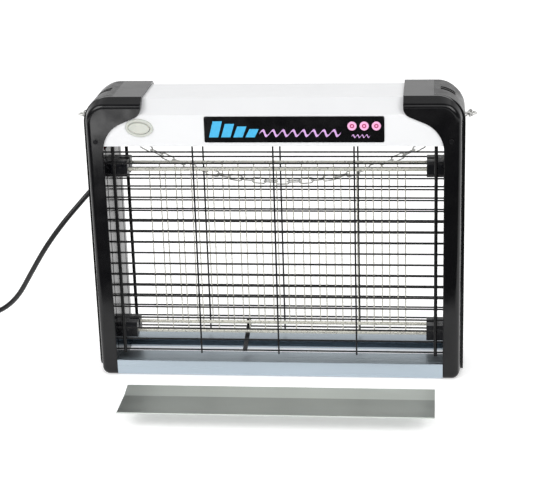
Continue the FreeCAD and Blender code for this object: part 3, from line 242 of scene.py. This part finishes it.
class Maker:
    """Builds one procedural material: a principled shader fed by object-space noise."""

    def __init__(self, name, colour, rough, metallic=0.0):
        self.colour = colour
        self.material = bpy.data.materials.new(name)
        self.material.use_nodes = True
        self.nodes = self.material.node_tree.nodes
        self.links = self.material.node_tree.links
        self.shader = self.nodes["Principled BSDF"]
        self.place = self.nodes.new("ShaderNodeTexCoord").outputs["Object"]
        self.shader.inputs["Base Color"].default_value = (*colour, 1.0)
        self.shader.inputs["Roughness"].default_value = rough
        self.shader.inputs["Metallic"].default_value = metallic

    def set(self, **values):
        for key, value in values.items():
            self.shader.inputs[SHADER_SOCKETS[key]].default_value = value
        return self

    def noise(self, scale, detail, stretch=(1, 1, 1)):
        """Soft blotches about 1 / scale metres across, finer along an axis with a larger stretch."""
        mapping = self.nodes.new("ShaderNodeMapping")
        mapping.inputs["Scale"].default_value = stretch
        self.links.new(self.place, mapping.inputs["Vector"])
        texture = self.nodes.new("ShaderNodeTexNoise")
        texture.inputs["Scale"].default_value = scale
        texture.inputs["Detail"].default_value = detail
        self.links.new(mapping.outputs["Vector"], texture.inputs["Vector"])
        return texture.outputs["Fac"]

    def ramp(self, source, low, high, start=0.35, end=0.65):
        """Maps a value between start and end to one between low and high."""
        node = self.nodes.new("ShaderNodeMapRange")
        node.inputs["From Min"].default_value = start
        node.inputs["From Max"].default_value = end
        node.inputs["To Min"].default_value = low
        node.inputs["To Max"].default_value = high
        self.links.new(source, node.inputs["Value"])
        return node.outputs["Result"]

    def math(self, operation, *values):
        """A number worked out from sockets or constants."""
        node = self.nodes.new("ShaderNodeMath")
        node.operation = operation
        for socket, value in zip(node.inputs, values):
            if isinstance(value, (int, float)):
                socket.default_value = value
            else:
                self.links.new(value, socket)
        return node.outputs[0]

    def split(self, vector, axis):
        """One axis of a vector."""
        node = self.nodes.new("ShaderNodeSeparateXYZ")
        self.links.new(vector, node.inputs["Vector"])
        return node.outputs[axis]

    def tint(self, source, dark, light, start=0.3, end=0.7):
        """Shades the base colour by a noise, from dark times the colour to light times it."""
        node = self.nodes.new("ShaderNodeValToRGB")
        for element, position, factor in zip(node.color_ramp.elements, (start, end), (dark, light)):
            element.position = position
            element.color = (*shade(self.colour, factor), 1.0)
        self.links.new(source, node.inputs["Fac"])
        self.links.new(node.outputs["Color"], self.shader.inputs["Base Color"])

    def multiply_painted_light(self, factor):
        """Multiplies the base colour that is already linked by a number, to paint light and shade
        into it.
        """
        tinted = self.shader.inputs["Base Color"].links[0].from_socket
        node = self.nodes.new("ShaderNodeMix")
        node.data_type = "RGBA"
        node.blend_type = "MULTIPLY"
        node.inputs["Factor"].default_value = 1.0
        self.links.new(tinted, node.inputs[MIX_A])
        self.links.new(factor, node.inputs[MIX_B])
        self.links.new(node.outputs[MIX_RESULT], self.shader.inputs["Base Color"])

    def rough(self, source, low, high):
        """Varies the roughness from low to high."""
        self.links.new(self.ramp(source, low, high), self.shader.inputs["Roughness"])

    def bump(self, source, depth_mm, strength):
        """Adds relief on top of any that is already there."""
        node = self.nodes.new("ShaderNodeBump")
        node.inputs["Strength"].default_value = strength
        node.inputs["Distance"].default_value = depth_mm * MM
        normal = self.shader.inputs["Normal"]
        if normal.is_linked:
            self.links.new(normal.links[0].from_socket, node.inputs["Normal"])
        self.links.new(source, node.inputs["Height"])
        self.links.new(node.outputs["Normal"], normal)


def shade(colour, factor):
    return tuple(min(1.0, channel * factor) for channel in colour)


# ================================================================ materials
def gloss_black():
    m = Maker("gloss_black_abs", (0.0030, 0.0030, 0.0036), 0.16).set(specular=0.34, ior=1.5)
    m.tint(m.noise(14.0, 4.0), 0.75, 1.35)
    m.rough(m.noise(60.0, 5.0), 0.11, 0.22)
    m.bump(m.noise(38.0, 2.0), 0.06, 0.35)
    m.bump(m.noise(900.0, 3.0), 0.012, 0.35)
    return m.material


def band_black():
    m = Maker("satin_black_band", (0.0035, 0.0035, 0.0040), 0.3).set(specular=0.2, ior=1.5)
    m.tint(m.noise(20.0, 4.0), 0.7, 1.4)
    m.rough(m.noise(120.0, 5.0), 0.22, 0.36)
    m.bump(m.noise(1400.0, 3.0), 0.02, 0.5)
    return m.material


def white_powder_coat():
    m = Maker("white_powder_coat", (0.71, 0.715, 0.725), 0.38).set(coat=0.15, coat_rough=0.2)
    m.tint(m.noise(9.0, 4.0), 0.975, 1.02)
    m.rough(m.noise(70.0, 4.0), 0.32, 0.46)
    m.bump(m.noise(1300.0, 4.0), 0.03, 0.4)
    return m.material


def label_black():
    m = Maker("label_gloss_black", (0.003, 0.003, 0.0036), 0.12).set(specular=0.35)
    m.rough(m.noise(90.0, 4.0), 0.09, 0.2)
    m.bump(m.noise(260.0, 2.0), 0.015, 0.3)
    return m.material


def print_ink(name, colour):
    m = Maker(name, colour, 0.3).set(coat=0.4, coat_rough=0.1)
    m.tint(m.noise(420.0, 3.0), 0.88, 1.06, 0.25, 0.75)
    m.bump(m.noise(2600.0, 2.0), 0.008, 0.4)
    return m.material


def button_plastic():
    m = Maker("button_plastic", (0.52, 0.525, 0.475), 0.32).set(subsurface=0.05)
    m.tint(m.noise(70.0, 4.0), 0.95, 1.04)
    m.rough(m.noise(200.0, 4.0), 0.26, 0.4)
    m.bump(m.noise(1800.0, 3.0), 0.02, 0.4)
    return m.material


def dark_plastic():
    m = Maker("black_insulator", (0.005, 0.0055, 0.008), 0.34).set(specular=0.35)
    m.tint(m.noise(90.0, 4.0), 0.7, 1.7, 0.3, 0.72)
    m.rough(m.noise(260.0, 4.0), 0.24, 0.46)
    m.bump(m.noise(700.0, 3.0), 0.04, 0.5)
    return m.material


def guard_coating():
    m = Maker("black_coated_wire", (0.0035, 0.0035, 0.0040), 0.34).set(specular=0.3)
    m.tint(m.noise(160.0, 4.0), 0.7, 1.6)
    m.rough(m.noise(500.0, 4.0), 0.25, 0.45)
    m.bump(m.noise(1500.0, 3.0), 0.03, 0.5)
    return m.material


def plated_steel(name, colour, low, high, metallic=1.0, patchy=0.18):
    """Bright metal whose roughness runs from low to high, and whose tone varies by patchy."""
    m = Maker(name, colour, low, metallic)
    m.tint(m.noise(60.0, 5.0), 1 - patchy, 1 + patchy / 2)
    m.rough(m.noise(340.0, 5.0), low, high)
    m.bump(m.noise(1900.0, 3.0), 0.02, 0.4)
    return m.material


def brushed_aluminium(name, colour, rough_low, rough_high):
    """The maker of a rolled or extruded metal with fine streaks along X."""
    m = Maker(name, colour, rough_low, 1.0).set(anisotropic=0.35)
    streaks = m.noise(1.0, 6.0, stretch=(3.0, 900.0, 900.0))
    broad = m.noise(5.0, 4.0, stretch=(0.6, 2.0, 2.0))
    m.tint(m.math("MULTIPLY_ADD", streaks, 0.6, m.math("MULTIPLY", broad, 0.4)), 0.9, 1.06)
    m.rough(streaks, rough_low, rough_high)
    m.bump(streaks, 0.03, 0.5)
    return m


def rail_aluminium():
    """Anodised pale blue-grey, with painted shade on faces that look up: their colour is darkened to
    0.6 of it.
    """
    m = brushed_aluminium("rail_aluminium", (0.445, 0.515, 0.575), 0.26, 0.4)
    normal = m.nodes.new("ShaderNodeTexCoord").outputs["Normal"]
    # Painted shade: faces whose normal looks up are darkened, down to 0.6 of the colour.
    m.multiply_painted_light(m.ramp(m.split(normal, "Z"), 1.0, 0.6, 0.3, 0.8))
    return m.material


def tray_aluminium():
    """Plain rolled sheet, with painted light: the flat floor is painted shade at 0.65 of the colour
    against the raised back, and the lip is a painted highlight at 1.25 of it.
    """
    m = brushed_aluminium("tray_aluminium", (0.52, 0.555, 0.525), 0.3, 0.44)
    low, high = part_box("collection_tray")
    lip = low.y + TRAY_LIP
    crease = high.y - TRAY_BACK
    y = m.split(m.place, "Y")
    # Painted shade: the flat floor, in front of the crease, is darkened to 0.65 of the colour.
    back = m.ramp(y, 0.65, 1.0, crease - TRAY_FLOOR_SHADE_BLEND, crease + TRAY_FLOOR_SHADE_BLEND)
    # Painted highlight: the lip, in front of the lip line, is lightened by 0.6 more.
    front = m.ramp(y, 0.6, 0.0, lip - TRAY_LIP_HIGHLIGHT_BLEND, lip + TRAY_LIP_HIGHLIGHT_BLEND)
    m.multiply_painted_light(m.math("ADD", back, front))
    return m.material


def led_board_white():
    m = Maker("led_board", (0.78, 0.79, 0.80), 0.4)
    m.tint(m.noise(50.0, 3.0), 0.95, 1.03)
    m.bump(m.noise(900.0, 2.0), 0.02, 0.4)
    return m.material


def diffuser_plastic():
    m = Maker("milky_diffuser", (0.86, 0.87, 0.92), 0.35).set(transmission=0.25, subsurface=0.1)
    m.rough(m.noise(300.0, 3.0), 0.28, 0.45)
    m.bump(m.noise(1200.0, 2.0), 0.02, 0.4)
    return m.material


def circuit_green():
    """Solder mask over a pattern of traces."""
    colour = (0.012, 0.11, 0.035)
    m = Maker("solder_mask", colour, 0.3).set(coat=0.3)
    traces = m.nodes.new("ShaderNodeTexBrick")
    traces.inputs["Scale"].default_value = 160.0
    traces.inputs["Mortar Size"].default_value = 0.03
    traces.inputs["Color1"].default_value = (*colour, 1.0)
    traces.inputs["Color2"].default_value = (*shade(colour, 1.25), 1.0)
    traces.inputs["Mortar"].default_value = (0.03, 0.2, 0.07, 1.0)
    m.links.new(m.place, traces.inputs["Vector"])
    m.links.new(traces.outputs["Color"], m.shader.inputs["Base Color"])
    m.bump(traces.outputs["Fac"], 0.03, 0.5)
    return m.material


def laminated_core():
    """Steel plates stacked along X."""
    m = Maker("laminated_core", (0.16, 0.15, 0.14), 0.45, 0.8)
    plates = m.noise(1.0, 2.0, stretch=(1600.0, 6.0, 6.0))
    m.tint(plates, 0.6, 1.4, 0.35, 0.65)
    m.bump(plates, 0.1, 0.7)
    return m.material


def dipped_film():
    m = Maker("dipped_film", (0.45, 0.16, 0.02), 0.25).set(coat=0.5)
    m.tint(m.noise(150.0, 4.0), 0.8, 1.2)
    m.bump(m.noise(400.0, 2.0), 0.08, 0.5)
    return m.material


def cable_sheath(name, colour):
    m = Maker(name, colour, 0.42).set(specular=0.45)
    m.tint(m.noise(110.0, 4.0), 0.75, 1.5)
    m.rough(m.noise(420.0, 4.0), 0.34, 0.52)
    m.bump(m.noise(1500.0, 3.0), 0.03, 0.5)
    return m.material


def make_materials():
    return {
        "housing_paint": white_powder_coat(),
        "black_abs": gloss_black(),
        "band": band_black(),
        "label_black": label_black(),
        "button_plastic": button_plastic(),
        "dark_plastic": dark_plastic(),
        "guard_black": guard_coating(),
        "grid_steel": plated_steel("plated_grid_wire", (0.80, 0.785, 0.70), 0.24, 0.36, 0.65, 0.08),
        "rail_aluminium": rail_aluminium(),
        "tray_aluminium": tray_aluminium(),
        "led_board": led_board_white(),
        "diffuser": diffuser_plastic(),
        "circuit_green": circuit_green(),
        "transformer_core": laminated_core(),
        "capacitor_film": dipped_film(),
        "lead_red": cable_sheath("red_lead", (0.35, 0.01, 0.01)),
        "screw_steel": plated_steel("zinc_screw", (0.5, 0.5, 0.49), 0.25, 0.42),
        "black_screw": plated_steel("black_oxide_screw", (0.03, 0.03, 0.032), 0.3, 0.45),
        "chain_steel": plated_steel("chain_steel", (0.72, 0.72, 0.70), 0.25, 0.4, 0.6, 0.12),
        "cord_black": cable_sheath("cord_sheath", (0.006, 0.006, 0.007)),
        "plug_black": dark_plastic(),
        "tie": cable_sheath("nylon_tie", (0.03, 0.03, 0.032)),
        "pin_metal": plated_steel("pin_metal", (0.66, 0.6, 0.46), 0.18, 0.3),
    }


def dress_nodes(materials):
    """Gives every CAD node its procedural material."""
    for part in frame["record"]["subparts"]:
        node = NODES[part["node"]]
        key = part["material_slot"]
        if part["node"].startswith("side_band"):
            key = "band"
        node.data.materials.clear()
        node.data.materials.append(materials[key])


# ================================================================ power cord
def coil_points():
    """The coil's centre, and its turns from the end of the free stretch round to the coil's side."""
    end = Vector(CORD_POINTS[-1]) * MM
    outer_r = COIL_MEAN_R + COIL_PITCH / 2
    centre = Vector((end.x, end.y - outer_r, 0))
    # The spline passes inside its control points, so they lie a little further out.
    spread = 1 / (0.75 + 0.25 * math.cos(2 * math.pi / COIL_STEPS))
    points = []
    last_turn = len(COIL_LANES) - 1
    last_step = last_turn * COIL_STEPS + COIL_STEPS // 4
    for step in range(COIL_FIRST_STEP, last_step + 1):
        turn, within = divmod(step, COIL_STEPS)
        ring, layer = COIL_LANES[turn]
        if turn < last_turn:
            next_ring, next_layer = COIL_LANES[turn + 1]
            move = max(0.0, (within - (COIL_STEPS - COIL_SHIFT)) / COIL_SHIFT)
            ring += (next_ring - ring) * move
            layer += (next_layer - layer) * move
        radius = (COIL_MEAN_R + COIL_PITCH * (ring - 0.5)) * spread
        angle = math.pi / 2 + 2 * math.pi * step / COIL_STEPS
        points.append(centre + Vector((
            radius * math.cos(angle), radius * math.sin(angle), end.z + COIL_PITCH * layer,
        )))
    return centre, points


def plug_entry():
    """The middle of the plug's back, where the cord goes in."""
    low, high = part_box("power_plug")
    return Vector(((low.x + high.x) / 2, high.y, (low.z + high.z) / 2))


def rounded_loop(half_x, half_z, radius, grow):
    """Points round a rounded rectangle, all of it pushed outwards by grow."""
    points = []
    for side_x, side_z, start in ((1, 1, 0), (-1, 1, 90), (-1, -1, 180), (1, -1, 270)):
        corner_x = side_x * (half_x - radius)
        corner_z = side_z * (half_z - radius)
        for step in range(TIE_CORNER_STEPS + 1):
            angle = math.radians(start + 90 * step / TIE_CORNER_STEPS)
            points.append((
                corner_x + (radius + grow) * math.cos(angle),
                corner_z + (radius + grow) * math.sin(angle),
            ))
    return points


def make_tie(centre, materials):
    """A narrow black strap pulled round the coil's section, with a small buckle on top."""
    low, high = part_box("power_cord_coil")
    bottom = low.z + TIE_THICK
    top = high.z + TIE_GAP
    half_z = (top - bottom) / 2
    half_r = COIL_PITCH + TIE_GAP
    angle = math.radians(TIE_ANGLE)
    out = Vector((math.cos(angle), math.sin(angle), 0))
    across = Vector((-out.y, out.x, 0))
    upward = Vector((0, 0, 1))
    middle = Vector((centre.x, centre.y, (bottom + top) / 2)) + out * COIL_MEAN_R

    def build(bm):
        loops = []
        for grow, side in ((0, -1), (0, 1), (TIE_THICK, 1), (TIE_THICK, -1)):
            start = middle + across * side * TIE_HALF_WIDTH
            outline = rounded_loop(half_r, half_z, TIE_CORNER_R, grow)
            loops.append([bm.verts.new(start + out * x + upward * z) for x, z in outline])
        join_cycle(bm, loops)
        add_block(
            bm, middle + upward * (half_z + TIE_THICK + BUCKLE_RISE),
            out * BUCKLE_LENGTH, across * BUCKLE_WIDTH, upward * BUCKLE_HEIGHT,
        )
        bmesh.ops.recalc_face_normals(bm, faces=bm.faces)

    tie = mesh_piece("coil_tie", build, "cabinet", materials["tie"])
    return bevel(tie, SMALL_EDGE)


def make_plug_sleeve(materials):
    """The plug's own ribbed, tapered sleeve round the cord."""
    entry = plug_entry()
    profile = [(-SLEEVE_SUNK, SLEEVE_ROOT_R)]
    for rib in range(SLEEVE_RIBS):
        for part, depth in SLEEVE_RIB_PROFILE:
            share = (rib + part) / SLEEVE_RIBS
            taper = (SLEEVE_TIP_R - SLEEVE_ROOT_R) * share
            profile.append((SLEEVE_LENGTH * share, SLEEVE_ROOT_R + taper - depth * SLEEVE_GROOVE))
    profile += [(SLEEVE_LENGTH, SLEEVE_TIP_R), (SLEEVE_LENGTH, CORD_D / 2 - SLEEVE_BITE)]

    def build(bm):
        loops = [
            upright_loop(bm, circle(entry.x, entry.z, radius, SLEEVE_STEPS), entry.y + along)
            for along, radius in profile
        ]
        for first, second in zip(loops, loops[1:]):
            join_loops(bm, first, second)
        bm.faces.new(loops[0])
        bm.faces.new(list(reversed(loops[-1])))
        bmesh.ops.recalc_face_normals(bm, faces=bm.faces)

    return mesh_piece("plug_sleeve", build, "cabinet", materials["plug_black"])


def make_plug_grips(materials):
    """Raised finger ribs on the plug's upper face, near its back."""
    low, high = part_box("power_plug")
    x = (low.x + high.x) / 2
    z = high.z - GRIP_SUNK + GRIP_HEIGHT / 2

    def build(bm):
        for index in range(GRIPS):
            y = high.y - GRIP_SETBACK - GRIP_PITCH * index
            length = GRIP_LENGTH - GRIP_SHRINK * index
            add_block(
                bm, Vector((x, y, z)),
                Vector((length, 0, 0)), Vector((0, GRIP_WIDTH, 0)), Vector((0, 0, GRIP_HEIGHT)),
            )

    grips = mesh_piece("plug_grips", build, "cabinet", materials["plug_black"])
    return bevel(grips, SMALL_EDGE)


def make_cord(materials):
    """The mains cord: out of the strain relief, down to the surface, coiled, and into the plug."""
    start = Vector(CORD_START) * MM
    centre, turns = coil_points()
    extras = [make_tie(centre, materials), make_plug_sleeve(materials), make_plug_grips(materials)]
    entry = plug_entry()
    tail = [entry + Vector((0, behind * MM, 0)) for behind in PLUG_RUN]
    points = [start] + [Vector(point) * MM for point in CORD_POINTS] + turns + tail
    data = bpy.data.curves.new("power_cord_line", "CURVE")
    data.dimensions = "3D"
    data.resolution_u = 8
    data.bevel_depth = 1.0
    data.bevel_resolution = 6
    data.use_fill_caps = True
    spline = data.splines.new("NURBS")
    spline.points.add(len(points) - 1)
    for target, point in zip(spline.points, points):
        target.co = (*point, 1.0)
        target.radius = CORD_D / 2
    spline.order_u = 3
    spline.use_endpoint_u = True
    cord = link("mains_cord", data)
    data.materials.append(materials["cord_black"])
    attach(cord, "cabinet")
    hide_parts("power_cord", "power_cord_coil")


# ================================================================ label graphics
def flat_ring(bm, cx, cz, outer, inner, y_back, y_front, steps):
    """A thin upright ring."""
    join_cycle(bm, [
        upright_loop(bm, circle(cx, cz, radius, steps), y)
        for radius, y in ((inner, y_front), (inner, y_back), (outer, y_back), (outer, y_front))
    ])


def wave_outline(x0, x1, z, height, width, waves, slant):
    """A wavy stroke of even width, as one closed outline."""
    steps = 16 * waves
    upper = []
    lower = []
    for index in range(steps + 1):
        share = index / steps
        x = x0 + (x1 - x0) * share
        rise = height * math.sin(2 * math.pi * waves * share)
        upper.append((x + slant * (rise + width), z + rise + width / 2))
        lower.append((x + slant * (rise - width), z + rise - width / 2))
    return upper + list(reversed(lower))


def make_label_graphics():
    """Four slanted blue bars, a long lilac wave, and three ringed pink discs over a short wave.

    All sizes and places are shares of the label's width and height.
    """
    low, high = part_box("label_plate")
    face = low.y
    front = face - INK_THICK
    width = high.x - low.x
    height = high.z - low.z
    disc_r = 0.17 * height
    disc_z = low.z + 0.63 * height
    disc_x = [low.x + share * width for share in (0.822, 0.889, 0.956)]

    def blue_bars(bm):
        """Each bar is lower than the one on its left."""
        lean = 0.16 * height
        stroke = 0.052 * width
        z0 = low.z + 0.2 * height
        for index in range(4):
            x = low.x + (0.026 + 0.068 * index) * width
            z1 = z0 + (0.62 - 0.1 * index) * height
            outline = [(x, z0), (x + stroke, z0), (x + stroke + lean, z1), (x + lean, z1)]
            extrude_outline(bm, outline, face, front)

    def lilac_waves(bm):
        long_x = low.x + 0.31 * width
        long_wave = wave_outline(
            long_x, long_x + 0.45 * width, low.z + 0.36 * height,
            height=0.11 * height, width=0.09 * height, waves=8, slant=0.25,
        )
        short_x = low.x + 0.82 * width
        short_wave = wave_outline(
            short_x, short_x + 0.1 * width, low.z + 0.24 * height,
            height=0.05 * height, width=0.045 * height, waves=4, slant=0.2,
        )
        extrude_outline(bm, long_wave, face, front)
        extrude_outline(bm, short_wave, face, front)

    def pink_discs(bm):
        for x in disc_x:
            extrude_outline(bm, circle(x, disc_z, disc_r, 40), face, front)

    def crimson_rings(bm):
        for x in disc_x:
            flat_ring(
                bm, x, disc_z, 0.5 * disc_r, 0.22 * disc_r, front, front - RING_THICK, steps=28,
            )

    for name, build, ink, colour in (
        ("label_blue_mark", blue_bars, "blue_ink", (0.045, 0.42, 0.72)),
        ("label_lilac_wave", lilac_waves, "lilac_ink", (0.62, 0.36, 0.70)),
        ("label_pink_discs", pink_discs, "pink_ink", (0.86, 0.42, 0.66)),
        ("label_disc_rings", crimson_rings, "crimson_ink", (0.42, 0.03, 0.14)),
    ):
        mesh_piece(name, build, "cabinet", print_ink(ink, colour))


# ================================================================ stage
def area_light(name, place, aim, size, power):
    """A rectangular light that the camera doesn't see."""
    data = bpy.data.lights.new(name, "AREA")
    data.shape = "RECTANGLE"
    data.size, data.size_y = size
    data.energy = power
    light = link(name, data)
    light.location = place
    light.rotation_mode = "QUATERNION"
    light.rotation_quaternion = (Vector(aim) - Vector(place)).to_track_quat("-Z", "Y")
    light.visible_camera = False
    return light


def level_sheet(name, half_x, y_front, y_back, z, material):
    """A flat level rectangle."""
    corners = [(-half_x, y_front, z), (half_x, y_front, z), (half_x, y_back, z), (-half_x, y_back, z)]
    data = bpy.data.meshes.new(name)
    data.from_pydata(corners, [], [(0, 1, 2, 3)])
    data.materials.append(material)
    return link(name, data)


def make_world():
    """White surroundings, brightest behind the object and dim above and in front of it."""
    world = bpy.data.worlds.new("studio")
    world.use_nodes = True
    nodes = world.node_tree.nodes
    links = world.node_tree.links
    direction = nodes.new("ShaderNodeTexCoord").outputs["Generated"]
    split = nodes.new("ShaderNodeSeparateXYZ")
    links.new(direction, split.inputs["Vector"])
    behind = nodes.new("ShaderNodeMapRange")
    behind.interpolation_type = "SMOOTHSTEP"
    behind.inputs["From Min"].default_value = -0.2
    behind.inputs["From Max"].default_value = 0.85
    behind.inputs["To Min"].default_value = 0.16
    behind.inputs["To Max"].default_value = 0.95
    links.new(split.outputs["Y"], behind.inputs["Value"])
    background = nodes["Background"]
    background.inputs["Color"].default_value = (1.0, 1.0, 1.0, 1.0)
    links.new(behind.outputs["Result"], background.inputs["Strength"])
    bpy.context.scene.world = world


def make_floor():
    """A wide pale floor that glows a little, so that it reads as pure white."""
    half = 9.0
    tone = 0.93
    m = Maker("pale_floor", (tone, tone, tone), 0.75).set(emission_strength=0.34)
    m.tint(m.noise(2.0, 3.0), 0.92 / tone, 0.94 / tone)
    level_sheet("floor", half, -half, half, 0.0, m.material)


def make_flag():
    """A black flag low in front: only reflections see it, so that gloss black reads as black."""
    material = Maker("flag_black", (0.01, 0.01, 0.01), 0.9).material
    flag = level_sheet("flag", half_x=1.2, y_front=-1.3, y_back=-0.21, z=0.004, material=material)
    flag.visible_camera = False
    flag.visible_diffuse = False
    flag.visible_transmission = False
    flag.visible_shadow = False


def make_lights():
    """Soft lights from both sides, the front and above, and a card low in front for reflections."""
    area_light("key_left", (-1.5, -1.5, 1.7), (0, 0, 0.1), (1.3, 1.3), 30.0)
    area_light("key_right", (1.6, -1.4, 1.6), (0, 0, 0.1), (1.1, 1.3), 24.0)
    area_light("front_soft", (0.0, -1.9, 1.6), (0, 0, 0.15), (2.4, 0.8), 13.0)
    sky = bpy.data.lights.new("overhead_soft", "SUN")
    sky.energy = 0.75
    sky.angle = math.radians(70)
    lamp = link("overhead_soft", sky)
    lamp.rotation_mode = "QUATERNION"
    lamp.rotation_quaternion = Vector((0, -0.55, -1)).to_track_quat("-Z", "Y")
    card = area_light("low_card", (-0.36, -0.92, 0.02), (-0.36, -0.92, 1.0), (0.2, 0.4), 1.1)
    card.visible_diffuse = False


def make_stage():
    """A plain white floor under soft studio light."""
    bpy.context.scene.view_settings.view_transform = "Standard"
    make_world()
    make_floor()
    make_flag()
    make_lights()


# ================================================================ build
make_camera()
MATERIALS = make_materials()
make_cord(MATERIALS)
dress_nodes(MATERIALS)
make_label_graphics()
make_stage()
